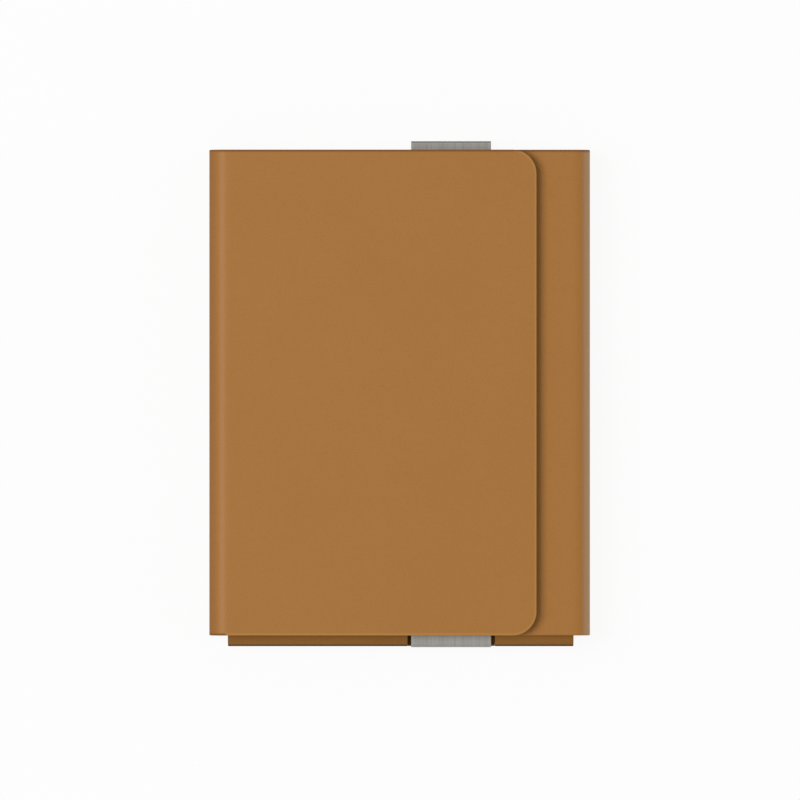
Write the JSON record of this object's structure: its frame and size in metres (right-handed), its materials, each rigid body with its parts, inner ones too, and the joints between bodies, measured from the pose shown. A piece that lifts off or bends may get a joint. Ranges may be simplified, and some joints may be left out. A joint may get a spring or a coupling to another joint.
{
  "type": "mini wallet",
  "caption": "Pocket-size leather card wallet: a jacket whose front flap opens to the left, round a gusseted card pocket with an elastic pull strap.",
  "frame": {"origin": "on the floor under the middle of the wallet's whole box, strap ends included", "axes": "the wallet lies on its back: +X to its right, +Y to the pocket's mouth at its top, +Z out of its front"},
  "size_m": [0.0762, 0.1012, 0.0124],
  "materials": {
    "jacket_leather": "smooth, softly glossy tan leather with rounded, burnished edges",
    "pocket_leather": "matte darker tan leather with dark cut edges",
    "lining": "brushed microfibre lining",
    "board": "plain grey stiffening board",
    "elastic": "woven grey elastic with fine lengthwise ribs",
    "thread": "satin grey sewing thread",
    "magnet": "nickel plated"
  },
  "bodies": {
    "back_panel": {"back_skin": "jacket_leather", "back_board": "board", "back_lining": "lining", "left_fold_lower": "jacket_leather", "right_spine_skin": "jacket_leather", "right_spine_lining": "lining", "pocket_back_wall": "pocket_leather", "pocket_gusset_left": "pocket_leather", "pocket_gusset_right": "pocket_leather", "pocket_bottom_left": "pocket_leather", "pocket_bottom_right": "pocket_leather"},
    "left_spine": {"left_spine_skin": "jacket_leather", "left_spine_lining": "lining", "left_fold_upper": "jacket_leather"},
    "front_flap": {"flap_skin": "jacket_leather", "flap_board": "board", "flap_lining": "lining", "flap_magnet_upper": "magnet", "flap_magnet_lower": "magnet"},
    "front_cover": {"cover_skin": "jacket_leather", "cover_board": "board", "cover_magnet_upper": "magnet", "cover_magnet_lower": "magnet", "pocket_front_wall": "pocket_leather", "strap_front_run": "elastic", "strap_anchor_tack": "thread"},
    "strap_turn": {"strap_bend": "elastic", "strap_back_run": "elastic"},
    "pull_tab": {"pull_tab": "elastic", "pull_tab_tack": "thread"}
  },
  "joints": [
    {"name": "left_spine_fold", "type": "hinge", "parent": "back_panel", "child": "left_spine", "pos_m": [-0.03733, 0.0004, 0.00077], "axis": [0, -1, 0], "range_deg": [0, 90], "deforming": ["left_fold_lower"]},
    {"name": "front_flap_fold", "type": "hinge", "parent": "left_spine", "child": "front_flap", "pos_m": [-0.03733, 0.0004, 0.01163], "axis": [0, -1, 0], "range_deg": [0, 90], "deforming": ["left_fold_upper"]},
    {"name": "pocket_squeeze", "type": "slide", "parent": "back_panel", "child": "front_cover", "axis": [0, 0, -1], "range_m": [0, 0.0028], "stiffness_N_per_m": 150, "springref_m": -0.002, "deforming": ["right_spine_skin", "right_spine_lining", "pocket_gusset_left", "pocket_gusset_right", "pocket_bottom_left", "pocket_bottom_right"]},
    {"name": "card_lift", "type": "slide", "parent": "back_panel", "child": "strap_turn", "axis": [0, 1, 0], "range_m": [0, 0.02], "stiffness_N_per_m": 10, "deforming": ["strap_front_run", "strap_bend", "strap_back_run"]},
    {"name": "tab_pull", "type": "slide", "parent": "strap_turn", "child": "pull_tab", "axis": [0, 1, 0], "range_m": [0, 0.02]}
  ],
  "couplings": [
    {"joint": "tab_pull", "follows": "card_lift", "ratio": 1}
  ]
}
